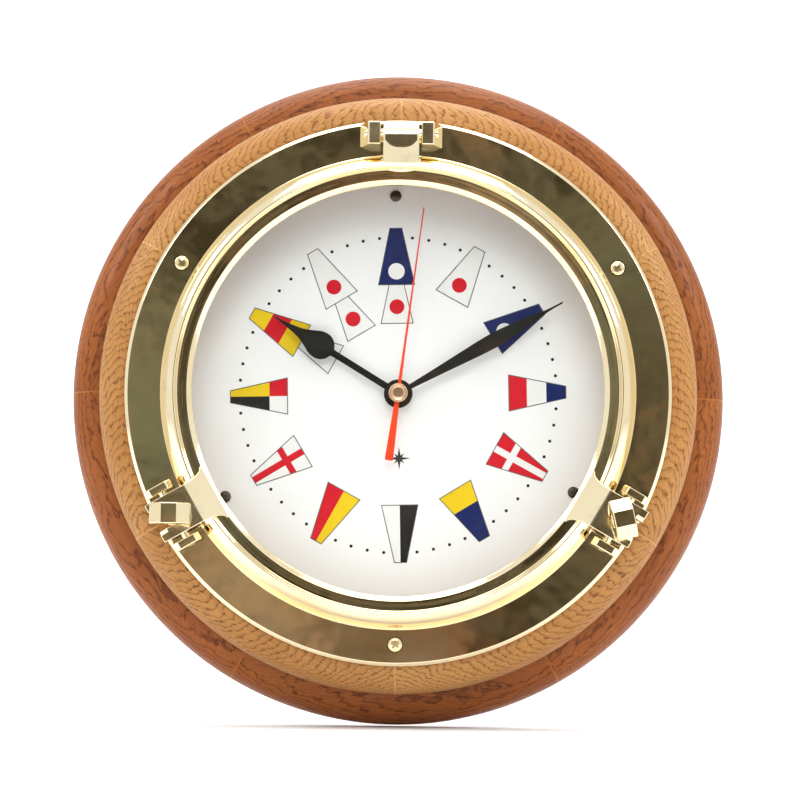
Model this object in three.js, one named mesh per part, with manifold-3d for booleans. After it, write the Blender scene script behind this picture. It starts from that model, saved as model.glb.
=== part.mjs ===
// Ship's deck clock: a hinged brass port-light case on a segmented oak ring,
// with a quartz movement, a signal-flag dial and two swing-bolt dogs.
//
// Units: millimetres. +Z is up, the face looks towards -Y, and the origin is
// the centre of the back face of the oak (the wall plane).
// Everything below is drawn in a face frame (x right, y up, z = depth from the
// wall plane towards the front) and turned into the object frame by one group.

import * as THREE from 'three';
import { mergeVertices } from 'three/addons/utils/BufferGeometryUtils.js';
import Module from 'manifold-3d';

// ---------------------------------------------------------------- dimensions
const GAP = 0.3;                 // clearance between touching pieces

// oak rings
const LOWER_R = 132, LOWER_IN = 62, LOWER_T = 19, LOWER_ROUND = 13;
const UPPER_R = 119, UPPER_IN = 86.5, UPPER_TOP = 36, UPPER_ROUND = 10.5;
const JOINT = 0.12;              // half of the glue-line gap between segments

// flange
const FLANGE_R = 107.8, FLANGE_IN = 86.2, FLANGE_BACK = 36.3, FLANGE_TOP = 39.0;
const COLLAR_R = 88.0, COLLAR_TOP = 41.7;
const SCREW_PCR = 99.3;          // flange screw circle

// lid
const LIP_R = 80.5, LID_R = 93.6, LID_BACK = 39.3, CREST = 49.5;
const GLASS_R = 84.2, GLASS_BACK = 42.0, GLASS_FRONT = 45.0;

// lid hinge at 12 o'clock
const HINGE_Y = 101.4, HINGE_D = 44.8, BARREL_R = 4.5, LUG_HALF = 7.0, LUG_CREST = 50.6;
const HINGE_PIN_R = 1.6, PIN_CLEAR = 0.15;

// dogs at 4 and 8 o'clock
const DOG_ANGLES = { right: 120, left: 240 };
const DOG_R = 100, DOG_PIN_D = 41, DOG_PIN_R = 1.5;
const LUG_TOP = 51.0, LUG_BACK = 43.1, LUG_W = 8.2, SLOT = 3.5;
const EYE_R = 3.3, EYE_HALF = 2.9, BOLT_R = 2.4;
const WASHER_H = 11.25, WASHER_T = 0.5, WASHER_R = 4.2;   // heights above the dog pin
const NUT_H = 12.05, NUT_CENTRE = 20.3, NUT_R = 8.35, NUT_T = 8.0;
const NUT_TURN = { right: 103, left: 0 };                 // direction of each disc's long axis

// dial and hands
const DIAL_R = 85.5, DIAL_BACK = 19.3, DIAL_FACE = 21.0;
const DIAL_TURN = -1.4;          // the dial sits slightly anticlockwise in the case
const HOUR_ANGLE = 301.3, MINUTE_ANGLE = 60.3, SECOND_ANGLE = 7.2;
const HOUR_D = 24.6, MINUTE_D = 26.4, SECOND_D = 28.1;

// movement
const CASE_HALF = 28, CASE_WALL = 1.4, CASE_FRONT = 19.0, CASE_REAR = 5.3;
const BAY_TOP = -11.7;           // battery bay partition, lower face
const FIFTH_AT = [-7.0, -1.685], ROTOR_AT = [-13.5, 0.914];
const THIRD_AT = [6.5, 7.86], MINUTE_AT = [-8.3, 7.815];

// --------------------------------------------------------------- tool helpers
const wasm = await Module();
wasm.setup();

const rad = (deg) => (deg * Math.PI) / 180;

function solid(geometry) {
  const g = geometry.clone();
  for (const name of Object.keys(g.attributes)) if (name !== 'position') g.deleteAttribute(name);
  const merged = mergeVertices(g, 1e-4);
  const p = merged.attributes.position.array;
  const index = merged.index.array;
  const tri = [];
  let volume = 0;
  for (let i = 0; i < index.length; i += 3) {
    const [a, b, c] = [index[i], index[i + 1], index[i + 2]];
    if (a === b || b === c || a === c) continue;
    tri.push(a, b, c);
    const [ax, ay, az] = p.slice(3 * a, 3 * a + 3);
    const [bx, by, bz] = p.slice(3 * b, 3 * b + 3);
    const [cx, cy, cz] = p.slice(3 * c, 3 * c + 3);
    volume += ax * (by * cz - bz * cy) + ay * (bz * cx - bx * cz) + az * (bx * cy - by * cx);
  }
  if (volume < 0) for (let i = 0; i < tri.length; i += 3) [tri[i], tri[i + 1]] = [tri[i + 1], tri[i]];
  return new wasm.Manifold(new wasm.Mesh({
    numProp: 3, vertProperties: Float32Array.from(p), triVerts: Uint32Array.from(tri),
  }));
}

function geometryOf(manifold) {
  const m = manifold.getMesh();
  const g = new THREE.BufferGeometry();
  g.setAttribute('position', new THREE.BufferAttribute(Float32Array.from(m.vertProperties), 3));
  g.setIndex(new THREE.BufferAttribute(Uint32Array.from(m.triVerts), 1));
  g.computeVertexNormals();
  return g;
}

const shapeOf = (points, holes = []) => {
  const s = new THREE.Shape(points.map(([x, y]) => new THREE.Vector2(x, y)));
  for (const h of holes) s.holes.push(new THREE.Path(h.map(([x, y]) => new THREE.Vector2(x, y))));
  return s;
};
const circle = (cx, cy, r, n) => Array.from({ length: n }, (_, i) => [
  cx + r * Math.cos((2 * Math.PI * i) / n), cy + r * Math.sin((2 * Math.PI * i) / n)]);

// ring or plug turned about the z axis, profile in (radius, depth)
function turned(profile, segments, closed = true) {
  const pts = profile.map(([r, d]) => new THREE.Vector2(r, d));
  if (closed) pts.push(pts[0].clone());
  const g = new THREE.LatheGeometry(pts, segments);
  g.rotateX(Math.PI / 2);
  return solid(g);
}
const plug = (profile, segments) => turned(profile, segments, false);

// outline in (x, y) raised from depth d0 to d1
function raised(points, d0, d1, holes = []) {
  const g = new THREE.ExtrudeGeometry(shapeOf(points, holes), { depth: d1 - d0, bevelEnabled: false });
  g.translate(0, 0, d0);
  return solid(g);
}
// outline in (y, depth) pulled along x from x0 to x1
function pulled(points, x0, x1) {
  const g = new THREE.ExtrudeGeometry(shapeOf(points), { depth: x1 - x0, bevelEnabled: false });
  // (a, b, c) -> (c, a, b)
  g.applyMatrix4(new THREE.Matrix4().set(0, 0, 1, x0, 1, 0, 0, 0, 0, 1, 0, 0, 0, 0, 0, 1));
  return solid(g);
}
const rodZ = (x, y, r, d0, d1, n = 20) => {
  const g = new THREE.CylinderGeometry(r, r, d1 - d0, n);
  g.rotateX(Math.PI / 2);
  g.translate(x, y, (d0 + d1) / 2);
  return solid(g);
};
const rodX = (y, d, r, x0, x1, n = 20) => {
  const g = new THREE.CylinderGeometry(r, r, x1 - x0, n);
  g.rotateZ(Math.PI / 2);
  g.translate((x0 + x1) / 2, y, d);
  return solid(g);
};
const block = (x0, x1, y0, y1, d0, d1) => {
  const g = new THREE.BoxGeometry(x1 - x0, y1 - y0, d1 - d0);
  g.translate((x0 + x1) / 2, (y0 + y1) / 2, (d0 + d1) / 2);
  return solid(g);
};
// turn a solid clockwise about the clock axis, from 12 o'clock to the angle
const atClock = (m, deg) => solid(geometryOf(m).rotateZ(-rad(deg)));

// ------------------------------------------------------------------ materials
const oakDark = () => new THREE.MeshStandardMaterial({ color: 0xa9683c, roughness: 0.4, metalness: 0 });
const oakLight = () => new THREE.MeshStandardMaterial({ color: 0xc8955f, roughness: 0.4, metalness: 0 });
const brass = () => new THREE.MeshStandardMaterial({ color: 0xc9a04a, roughness: 0.18, metalness: 1 });
const steel = () => new THREE.MeshStandardMaterial({ color: 0x9a9a98, roughness: 0.35, metalness: 1 });
const black = () => new THREE.MeshStandardMaterial({ color: 0x111111, roughness: 0.45, metalness: 0 });
const rubber = () => new THREE.MeshStandardMaterial({ color: 0x1c1c1c, roughness: 0.8, metalness: 0 });
const white = () => new THREE.MeshStandardMaterial({ color: 0xf2f2ee, roughness: 0.5, metalness: 0 });
const red = () => new THREE.MeshStandardMaterial({ color: 0xe03a1c, roughness: 0.4, metalness: 0 });
const nylon = () => new THREE.MeshStandardMaterial({ color: 0xe9e4d4, roughness: 0.5, metalness: 0 });
const green = () => new THREE.MeshStandardMaterial({ color: 0x2c6b3f, roughness: 0.5, metalness: 0 });
const copper = () => new THREE.MeshStandardMaterial({ color: 0xb3602f, roughness: 0.35, metalness: 1 });
const clear = () => new THREE.MeshStandardMaterial({ color: 0xf4f8f6, roughness: 0.02, metalness: 0, transparent: true, opacity: 0.2 });

const face = new THREE.Group();
face.rotation.x = Math.PI / 2;            // face frame to object frame
function add(name, manifold, material) {
  const mesh = new THREE.Mesh(geometryOf(manifold), material);
  mesh.name = name;
  face.add(mesh);
  return mesh;
}

// ------------------------------------------------------------------ oak rings
const arc = (cx, cy, r, a0, a1, n) => Array.from({ length: n + 1 }, (_, i) => {
  const a = rad(a0 + ((a1 - a0) * i) / n);
  return [cx + r * Math.cos(a), cy + r * Math.sin(a)];
});
const lowerRing = turned([
  [LOWER_IN, 0], [LOWER_R, 0],
  ...arc(LOWER_R - LOWER_ROUND, LOWER_T - LOWER_ROUND, LOWER_ROUND, 0, 90, 5),
  [LOWER_IN, LOWER_T],
], 54);
const upperRing = turned([
  [UPPER_IN, LOWER_T + GAP], [UPPER_R, LOWER_T + GAP],
  ...arc(UPPER_R - UPPER_ROUND, UPPER_TOP - UPPER_ROUND, UPPER_ROUND, 0, 90, 5),
  [UPPER_IN, UPPER_TOP],
], 54);
// sixty-degree sector centred on 12 o'clock, drawn in by the glue line
function sector() {
  const far = 400, a = rad(30);
  const apex = JOINT / Math.sin(a);
  return raised([[0, apex], [far * Math.sin(a), apex + far * Math.cos(a)],
    [-far * Math.sin(a), apex + far * Math.cos(a)]], -5, 60);
}
const wedge = sector();
const hangerPocket = block(-20.3, 20.3, 103.7, 120.3, -1, 1.9)
  .add(rodZ(0, 112, 5.2, -1, 7.0, 16)).add(block(-3, 3, 112, 118, -1, 7.0))
  .add(rodZ(-16, 112, 1.2, -1, 11.3, 10)).add(rodZ(16, 112, 1.2, -1, 11.3, 10));
for (let i = 0; i < 6; i++) {
  const lowerAngle = 60 * i;
  let low = lowerRing.intersect(atClock(wedge, lowerAngle));
  if (lowerAngle === 0) low = low.subtract(hangerPocket);
  for (const a of [0, 120, 240]) {
    if (a === lowerAngle) low = low.subtract(atClock(rodZ(0, 80, 1.5, 10.5, 20, 10), a + DIAL_TURN));
  }
  add(`lower_ring_segment_${i + 1}`, low, oakDark());
}
for (let i = 0; i < 6; i++) {
  const upperAngle = 30 + 60 * i;
  let up = upperRing.intersect(atClock(wedge, upperAngle));
  for (const a of [60, 180, 300]) {
    if (Math.abs(a - upperAngle) === 30) up = up.subtract(atClock(rodZ(0, SCREW_PCR, 1.8, 20.8, 37, 12), a));
  }
  add(`upper_ring_segment_${i + 1}`, up, oakLight());
}

// --------------------------------------------------------------- wall hanger
const keyhole = [[-1.9, 112], [-1.9, 117.2], [-1.0, 118.4], [1.0, 118.4], [1.9, 117.2], [1.9, 112]];
add('hanger_plate', block(-20, 20, 104, 120, 0.05, 1.55)
  .subtract(rodZ(0, 111, 4.2, -1, 3, 16)).subtract(raised(keyhole, -1, 3))
  .subtract(rodZ(-16, 112, 1.35, -1, 3, 10)).subtract(rodZ(16, 112, 1.35, -1, 3, 10))
  .subtract(solid(new THREE.CylinderGeometry(1.2, 2.9, 1.5, 14).rotateX(Math.PI / 2).translate(-16, 112, 0.72)))
  .subtract(solid(new THREE.CylinderGeometry(1.2, 2.9, 1.5, 14).rotateX(Math.PI / 2).translate(16, 112, 0.72))), steel());
for (const [i, x] of [[1, -16], [2, 16]]) {
  const s = plug([[0, 0.08], [2.3, 0.08], [0.9, 1.3], [0.9, 10.0], [0, 11.0]], 14);
  add(`hanger_screw_${i}`, solid(geometryOf(s.subtract(block(-2.4, 2.4, -0.3, 0.3, -0.5, 0.55))).translate(x, 112, 0)), steel());
}

// --------------------------------------------------------------------- flange
let flange = turned([
  [FLANGE_IN, FLANGE_BACK], [FLANGE_R, FLANGE_BACK], [FLANGE_R, FLANGE_TOP - 1.2],
  [FLANGE_R - 1.2, FLANGE_TOP], [COLLAR_R, FLANGE_TOP], [COLLAR_R, COLLAR_TOP - 0.3],
  [COLLAR_R - 0.3, COLLAR_TOP], [FLANGE_IN, COLLAR_TOP],
], 60);
// hinge ears, at 12 o'clock
const hingeEar = (s) => {
  const g = new THREE.ExtrudeGeometry(shapeOf([
    [8.0 * s, 38.2], [8.0 * s, 46.9], [8.4 * s, 47.3], [12.6 * s, 47.3], [13.1 * s, 46.8], [16.2 * s, 39.6], [16.2 * s, 38.2],
  ]), { depth: 9.2, bevelEnabled: false });
  g.rotateX(Math.PI / 2);                 // (x, d, t) -> (x, -t, d)
  g.translate(0, 105.7, 0);
  return solid(g);
};
const earTop = pulled([[96.5, 37], [96.5, 45.3], [98.6, 47.5], [103.6, 47.5], [105.7, 45.3], [105.7, 37]], -20, 20);
flange = flange.add(hingeEar(1).intersect(earTop)).add(hingeEar(-1).intersect(earTop))
  .subtract(rodX(HINGE_Y, HINGE_D, HINGE_PIN_R + PIN_CLEAR, -20, 20, 16));
// dog ears and the notch that takes each swing bolt's eye
const dogEarProfile = [[94.8, 38], [94.8, 44.8], [96.5, 46.5], [104.6, 46.5], [106.5, 44.6], [106.5, 38]];
const dogEars = pulled(dogEarProfile, 9.9, 13.3).add(pulled(dogEarProfile, -13.3, -9.9));
const dogCuts = rodX(DOG_R, DOG_PIN_D, DOG_PIN_R + PIN_CLEAR, -14, 14, 14)
  .add(block(-3.3, 3.3, 95.9, 110, 36, 44));
for (const a of Object.values(DOG_ANGLES)) flange = flange.add(atClock(dogEars, a)).subtract(atClock(dogCuts, a));
const flangeScrewCut = plug([[0, 36], [1.8, 36], [1.8, 36.95], [3.1, 38.9], [3.1, 40], [0, 40]], 18);
for (const a of [60, 180, 300]) {
  flange = flange.subtract(solid(geometryOf(flangeScrewCut).translate(0, SCREW_PCR, 0).rotateZ(-rad(a))));
}
add('flange_ring', flange, brass());

// flange screws: raised countersunk heads with a cross recess
const cross = block(-1.7, 1.7, -0.32, 0.32, 38.2, 40).add(block(-0.32, 0.32, -1.7, 1.7, 38.2, 40));
const flangeScrew = plug([[0, 21.2], [1.5, 23.2], [1.5, 36.95], [2.75, 38.85], [2.1, 39.3], [1.2, 39.55], [0, 39.65]], 18).subtract(cross);
for (const [i, a] of [[1, 60], [2, 180], [3, 300]]) {
  add(`flange_screw_${i}`, solid(geometryOf(flangeScrew).rotateZ(rad(20 * i)).translate(0, SCREW_PCR, 0).rotateZ(-rad(a))), brass());
}
add('hinge_pin', rodX(HINGE_Y, HINGE_D, HINGE_PIN_R, -13.2, 13.2, 16), brass());

// ------------------------------------------------------------------------ lid
let lid = turned([
  [GLASS_R + GAP, LID_BACK], [85.7, LID_BACK], [85.7, 43.9], [89.5, 43.9], [89.5, LID_BACK],
  [LID_R, LID_BACK], [93.5, 41.6], [92.8, 44.6], [91.4, 47.1], [89.7, 48.8], [87.7, CREST],
  [86.9, 49.2], [86.4, 48.0], [85.8, 47.6], [82.3, 47.3], [LIP_R, 46.2], [LIP_R, GLASS_FRONT + GAP], [GLASS_R + GAP, GLASS_FRONT + GAP],
], 60);
// hinge lug with its barrel
const armOutline = raised([[-LUG_HALF, 106], [-LUG_HALF, 91], [-7.6, 88.4], [-10.2, 85], [10.2, 85], [7.6, 88.4], [LUG_HALF, 91], [LUG_HALF, 106]].reverse(), 40, 53);
const armProfile = pulled([
  [85.2, 47.0], [85.2, 48.2], [95.2, LUG_CREST], [99.8, LUG_CREST], [102.1, 50.1], [104.0, 48.9], [105.3, 47.1], [105.8, 44.9],
  [101.4, 42.2], [93.4, 41.4], [91.0, 44.5], [88.2, 46.4],
], -12, 12);
lid = lid.add(armOutline.intersect(armProfile))
  .add(rodX(HINGE_Y, HINGE_D, BARREL_R, -LUG_HALF, LUG_HALF, 24))
  .subtract(rodX(HINGE_Y, HINGE_D, HINGE_PIN_R + PIN_CLEAR, -9, 9, 16));
// dog lugs: flat-topped, slotted from the outside, with a sloped bridge to the lip
const lugOutline = raised([[-LUG_W, 108.5], [-LUG_W, 90], [-8.9, 86.5], [-11.2, 81], [11.2, 81], [8.9, 86.5], [LUG_W, 90], [LUG_W, 108.5]], 40, 53);
const lugProfile = pulled([
  [81.4, 46.9], [81.4, 47.7], [90.8, LUG_TOP], [107.2, LUG_TOP], [107.9, LUG_TOP - 0.7], [107.9, LUG_BACK + 0.6],
  [107.3, LUG_BACK], [93.2, LUG_BACK], [92.0, 45.2], [86.0, 46.6],
], -13, 13);
const slotOutline = [[-SLOT, 110], [-SLOT, 98.9], ...arc(0, 98.9, SLOT, 180, 360, 8).slice(1, -1), [SLOT, 98.9], [SLOT, 110]];
const slotCut = raised(slotOutline, 40, 53);
const mouth = pulled([[104.5, 51.2], [108.4, 48.35], [108.4, 51.6]], -4.9, 4.9);
const dogLug = lugOutline.intersect(lugProfile).subtract(slotCut).subtract(mouth);
for (const a of Object.values(DOG_ANGLES)) lid = lid.add(atClock(dogLug, a));
add('lid_ring', lid, brass());

add('glass', plug([[0, GLASS_BACK], [GLASS_R, GLASS_BACK], [GLASS_R, GLASS_FRONT], [0, GLASS_FRONT]], 48), clear());
add('lid_gasket', turned([[86.1, 42.1], [89.1, 42.1], [89.1, 43.6], [86.1, 43.6]], 48), rubber());
add('glass_retainer', turned([[81.0, 39.9], [GLASS_R, 39.9], [GLASS_R, 41.7], [81.6, 41.7]], 48), brass());

// ----------------------------------------------------------------------- dogs
for (const side of ['right', 'left']) {
  const a = DOG_ANGLES[side];
  add(`dog_pin_${side}`, atClock(rodX(DOG_R, DOG_PIN_D, DOG_PIN_R, -13.2, 13.2, 14), a), brass());

  const eye = rodX(DOG_R, DOG_PIN_D, EYE_R, -EYE_HALF, EYE_HALF, 20);
  const shank = solid(geometryOf(plug([[0, 0], [BOLT_R, 0], [BOLT_R, 16.3], [BOLT_R - 0.5, 16.8], [0, 16.8]], 18)).translate(0, DOG_R, DOG_PIN_D));
  const bolt = eye.add(shank).subtract(rodX(DOG_R, DOG_PIN_D, DOG_PIN_R + PIN_CLEAR, -4, 4, 14));
  add(`dog_bolt_${side}`, atClock(bolt, a), brass());

  const base = DOG_PIN_D + WASHER_H;
  const washer = turned([[2.8, base], [WASHER_R, base], [WASHER_R, base + WASHER_T], [2.8, base + WASHER_T]], 20);
  add(`dog_washer_${side}`, solid(geometryOf(washer).translate(DOG_R * Math.sin(rad(a)), DOG_R * Math.cos(rad(a)), 0)), brass());

  // thumb nut: an eight-sided disc standing on a short collar, cross-drilled
  const half = NUT_T / 2, e = 0.45;
  const disc = new THREE.LatheGeometry([[0, -half], [NUT_R - e, -half], [NUT_R, -half + e],
    [NUT_R, half - e], [NUT_R - e, half], [0, half]].map(([r, y]) => new THREE.Vector2(r, y)), 8, Math.PI / 8);
  disc.translate(0, 0, DOG_PIN_D + NUT_CENTRE);        // disc axis along y, long axis along x
  const collar = plug([[0, DOG_PIN_D + NUT_H], [4.1, DOG_PIN_D + NUT_H], [4.3, DOG_PIN_D + NUT_H + 0.3],
    [3.9, DOG_PIN_D + NUT_H + 2.4], [3.0, DOG_PIN_D + NUT_CENTRE], [0, DOG_PIN_D + NUT_CENTRE]], 20);
  const tommy = solid(new THREE.CylinderGeometry(2.3, 2.3, 12, 18).translate(0, 0, DOG_PIN_D + NUT_CENTRE));
  const nut = solid(disc).add(collar).subtract(rodZ(0, 0, BOLT_R + GAP, DOG_PIN_D, DOG_PIN_D + NUT_CENTRE, 16)).subtract(tommy);
  add(`thumb_nut_${side}`, solid(geometryOf(nut).rotateZ(rad(NUT_TURN[side])).translate(DOG_R * Math.sin(rad(a)), DOG_R * Math.cos(rad(a)), 0)), brass());
}

// ----------------------------------------------------------------------- dial
add('dial_plate', raised(circle(0, 0, DIAL_R, 54), DIAL_BACK, DIAL_FACE, [circle(0, 0, 4.3, 20),
  ...[0, 120, 240].map((a) => circle(80 * Math.sin(rad(a + DIAL_TURN)), 80 * Math.cos(rad(a + DIAL_TURN)), 1.5, 10))]), white());
const dialScrew = plug([[0, 10.8], [1.2, 12.2], [1.2, 21.3], [2.3, 21.3], [2.3, 21.9], [1.7, 22.4], [0, 22.6]], 14)
  .subtract(block(-2.4, 2.4, -0.3, 0.3, 22.0, 23));
for (const [i, a] of [[1, 0], [2, 120], [3, 240]]) {
  add(`dial_screw_${i}`, solid(geometryOf(dialScrew).rotateZ(rad(35 + 50 * i)).translate(0, 80, 0).rotateZ(-rad(a + DIAL_TURN))), steel());
}
add('fixing_nut', raised(circle(0, 0, 5.4, 6), DIAL_FACE + GAP, 23.2, [circle(0, 0, 4.25, 20)]), brass());

// ------------------------------------------------------------------- gear work
// straight-sided teeth, cut thin so every mesh runs with backlash
function gear(teeth, module, toothAt, d0, d1, bore = 0) {
  const pitch = (teeth * module) / 2, tip = pitch + 0.75 * module, root = pitch - 1.15 * module;
  const step = (2 * Math.PI) / teeth;
  const pts = [];
  // large wheels: pointed teeth; pinions: flat-topped teeth
  const wide = teeth > 30;
  const outer = wide ? pitch + 0.62 * module : tip;
  const form = wide ? [[-0.5, root], [0, outer]] : [[-0.24, root], [-0.085, tip], [0.085, tip], [0.24, root]];
  for (let i = 0; i < teeth; i++) {
    const c = toothAt + i * step;
    for (const [k, r] of form) pts.push([r * Math.cos(c + k * step), r * Math.sin(c + k * step)]);
  }
  return raised(pts, d0, d1, bore ? [circle(0, 0, bore, 14)] : []);
}
const bearing = (from, to) => Math.atan2(to[1] - from[1], to[0] - from[0]);
const gapAt = (teeth, angle) => angle + Math.PI + Math.PI / teeth;    // a tooth space faces the mating tooth
const moved = (m, [x, y]) => solid(geometryOf(m).translate(x, y, 0));
const HUB = [0, 0];

// rotor (8) -> fifth (48); fifth (8) -> seconds (40); seconds (8) -> third (60);
// third (8) -> centre (64); cannon (12) -> minute (36); minute pinion (10) -> hour (40)
const rotorToFifth = bearing(ROTOR_AT, FIFTH_AT);
add('rotor', moved(gear(8, 0.25, rotorToFifth, 6.2, 7.5).add(rodZ(0, 0, 0.4, 4.5, 11.5, 10)).add(rodZ(0, 0, 2.4, 8.0, 10.4, 18)), ROTOR_AT), steel());
const fifthToHub = bearing(FIFTH_AT, HUB);
add('fifth_wheel', moved(gear(48, 0.25, gapAt(48, rotorToFifth), 6.4, 7.3)
  .add(rodZ(0, 0, 0.4, 4.5, 11.5, 10)).add(gear(8, 0.3, fifthToHub, 7.2, 9.1)), FIFTH_AT), nylon());
const hubToThird = bearing(HUB, THIRD_AT);
add('seconds_wheel', gear(40, 0.3, gapAt(40, fifthToHub), 8.0, 8.9).add(gear(8, 0.3, hubToThird, 8.8, 11.0))
  .add(rodZ(0, 0, 0.5, 4.5, 28.9, 12)), nylon());
const thirdToHub = bearing(THIRD_AT, HUB);
const THIRD_M = 10.2 / 36;
add('third_wheel', moved(gear(60, 0.3, gapAt(60, hubToThird), 9.9, 10.8)
  .add(rodZ(0, 0, 0.4, 4.5, 18.5, 10)).add(gear(8, THIRD_M, thirdToHub, 12.0, 13.3)), THIRD_AT), nylon());
const hubToMinute = bearing(HUB, MINUTE_AT);
add('centre_wheel', gear(64, THIRD_M, gapAt(64, thirdToHub), 12.1, 13.1, 0.85)
  .add(gear(12, 0.475, hubToMinute, 13.0, 14.9, 0.85))
  .add(turned([[0.85, 12.1], [1.45, 12.1], [1.45, 27.2], [0.85, 27.2]], 14)), nylon());
const minuteToHub = bearing(MINUTE_AT, HUB);
add('minute_wheel', moved(gear(36, 0.475, gapAt(36, hubToMinute), 13.8, 14.8)
  .add(gear(10, 0.456, minuteToHub, 14.7, 16.7)).add(rodZ(0, 0, 0.9, 1.6, 17.7, 12)), MINUTE_AT), nylon());
add('hour_wheel', gear(40, 0.456, gapAt(40, minuteToHub), 15.6, 16.6, 1.75)
  .add(turned([[1.75, 15.6], [2.5, 15.6], [2.5, 25.3], [1.75, 25.3]], 16)), nylon());
const knob = [];
for (let i = 0; i < 24; i++) knob.push([(i % 2 ? 5.5 : 6.0) * Math.cos(rad(15 * i)), (i % 2 ? 5.5 : 6.0) * Math.sin(rad(15 * i))]);
add('setting_knob', moved(raised(knob, 0.8, 3.0, [circle(0, 0, 1.2, 12)]), MINUTE_AT), black());

// --------------------------------------------------------------- movement case
const H = CASE_HALF, W = CASE_WALL, IN = H - W;
let front = block(-H, H, -H, H, CASE_REAR, CASE_FRONT)
  .subtract(block(-IN, IN, BAY_TOP + 1.2, IN, CASE_REAR - 1, CASE_FRONT - 0.9))
  .subtract(block(-IN, IN, -IN, BAY_TOP, CASE_REAR - 1, CASE_FRONT - 0.9));
front = front.add(rodZ(0, 0, 3.95, 18.2, 24.0, 20));
for (const [x, y] of [[-15.5, -8], [15.5, -8], [-15.5, 18], [15.5, 18]]) front = front.add(rodZ(x, y, 1.3, 12.0, 18.5, 12));
front = front.subtract(rodZ(0, 0, 2.8, 17, 25, 18)).subtract(rodZ(...THIRD_AT, 0.65, 17.5, 18.7, 10));
add('movement_case', front, black());
const pivots = [FIFTH_AT, ROTOR_AT, THIRD_AT, HUB];
let cover = block(-H, H, BAY_TOP + 1.4, H, 3.4, CASE_REAR - GAP);
for (const p of pivots) cover = cover.subtract(rodZ(...p, 0.75, 4.2, 6, 10));
cover = cover.subtract(rodZ(...MINUTE_AT, 1.2, 3, 6, 12));
add('movement_cover', cover, black());
let plate = block(-17.2, 17.2, -9.6, 19.6, 11.2, 11.7);
for (const p of [FIFTH_AT, ROTOR_AT, THIRD_AT]) plate = plate.subtract(rodZ(...p, 0.6, 11, 12, 10));
plate = plate.subtract(rodZ(0, 0, 0.9, 11, 12, 10)).subtract(rodZ(...MINUTE_AT, 1.2, 11, 12, 12));
add('train_plate', plate, nylon());

// ------------------------------------------------------------------ electrical
const cell = new THREE.LatheGeometry([[0, -25.2], [6.4, -25.2], [6.9, -24.7], [6.9, 23.7], [6.4, 24.2], [2.7, 24.2], [2.7, 25.2], [0, 25.2]]
  .map(([r, y]) => new THREE.Vector2(r, y)), 24);
cell.rotateZ(-Math.PI / 2);
cell.translate(0, -19.1, 10.9);
add('battery', solid(cell), black());
add('contact_positive', block(25.6, 26.1, -23.5, -14.7, 6.0, 16.0), steel());
add('contact_negative', block(-26.1, -25.6, -23.5, -14.7, 6.0, 16.0), steel());
add('circuit_board', block(12.5, 25.5, -8.5, 24.5, 6.0, 7.0), green());
const can = new THREE.CylinderGeometry(1.0, 1.0, 6.2, 14);
can.translate(20.5, 14, 8.4);
add('quartz_crystal', solid(can), steel());
add('stator', raised([[-22.5, -3], [-9.5, -3], [-9.5, 25], [-22.5, 25]], 8.7, 9.7,
  [[[-19.5, 5], [-16.5, 5], [-16.5, 21], [-19.5, 21]], circle(ROTOR_AT[0], ROTOR_AT[1], 3.0, 20)]), steel());
const coil = new THREE.CylinderGeometry(3.3, 3.3, 15, 20);
coil.translate(-21, 13, 9.2);
add('coil', solid(coil).subtract(block(-22.8, -19.2, 4, 22, 8.4, 10.0)), copper());

// ----------------------------------------------------------------------- hands
const flat = (pts, d0, d1, holes = []) => raised(pts, d0, d1, holes);
function hand(name, right, boss, bore, d, thick, angle, material) {
  // right: outline down the right side from the tip, as (half width, distance from the hub)
  const pts = [...right.map(([w, y]) => [w, y]), ...right.slice().reverse().filter(([w]) => w > 0).map(([w, y]) => [-w, y])];
  const m = flat(pts.reverse(), d, d + thick).add(rodZ(0, 0, boss, d, d + thick, 22)).subtract(rodZ(0, 0, bore, d - 2, d + thick + 2, 14));
  add(name, atClock(m, angle), material);
}
hand('hour_hand', [[0.15, 59], [0.9, 50], [2.1, 45.5], [4.1, 41.6], [5.4, 38.4], [5.5, 36], [4.7, 33.8], [3.1, 32], [1.4, 31.2], [1.3, 15], [1.3, 2]],
  5.7, 2.8, HOUR_D, 0.6, HOUR_ANGLE, black());
hand('minute_hand', [[0.35, 75], [0.45, 67], [1.3, 61], [2.4, 52], [2.95, 44], [2.75, 36], [1.9, 22], [1.0, 6], [0.95, 2]],
  3.4, 1.75, MINUTE_D, 0.6, MINUTE_ANGLE, black());
hand('seconds_hand', [[0.25, 75], [0.45, 20], [0.7, 0], [1.15, -8], [1.7, -26.2], [1.4, -27]],
  2.4, 0.8, SECOND_D, 0.5, SECOND_ANGLE, red());
add('hand_cap', plug([[0, 29.2], [1.0, 28.9], [3.5, 28.9], [3.8, 29.2], [3.8, 30.0], [3.2, 30.5], [1.6, 30.65], [0, 30.7]], 22), brass());

const clock = new THREE.Group();
clock.name = 'deck_clock';
clock.add(face);
export default clock;
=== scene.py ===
import bpy, bmesh, math
from mathutils import Vector, Matrix


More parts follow.
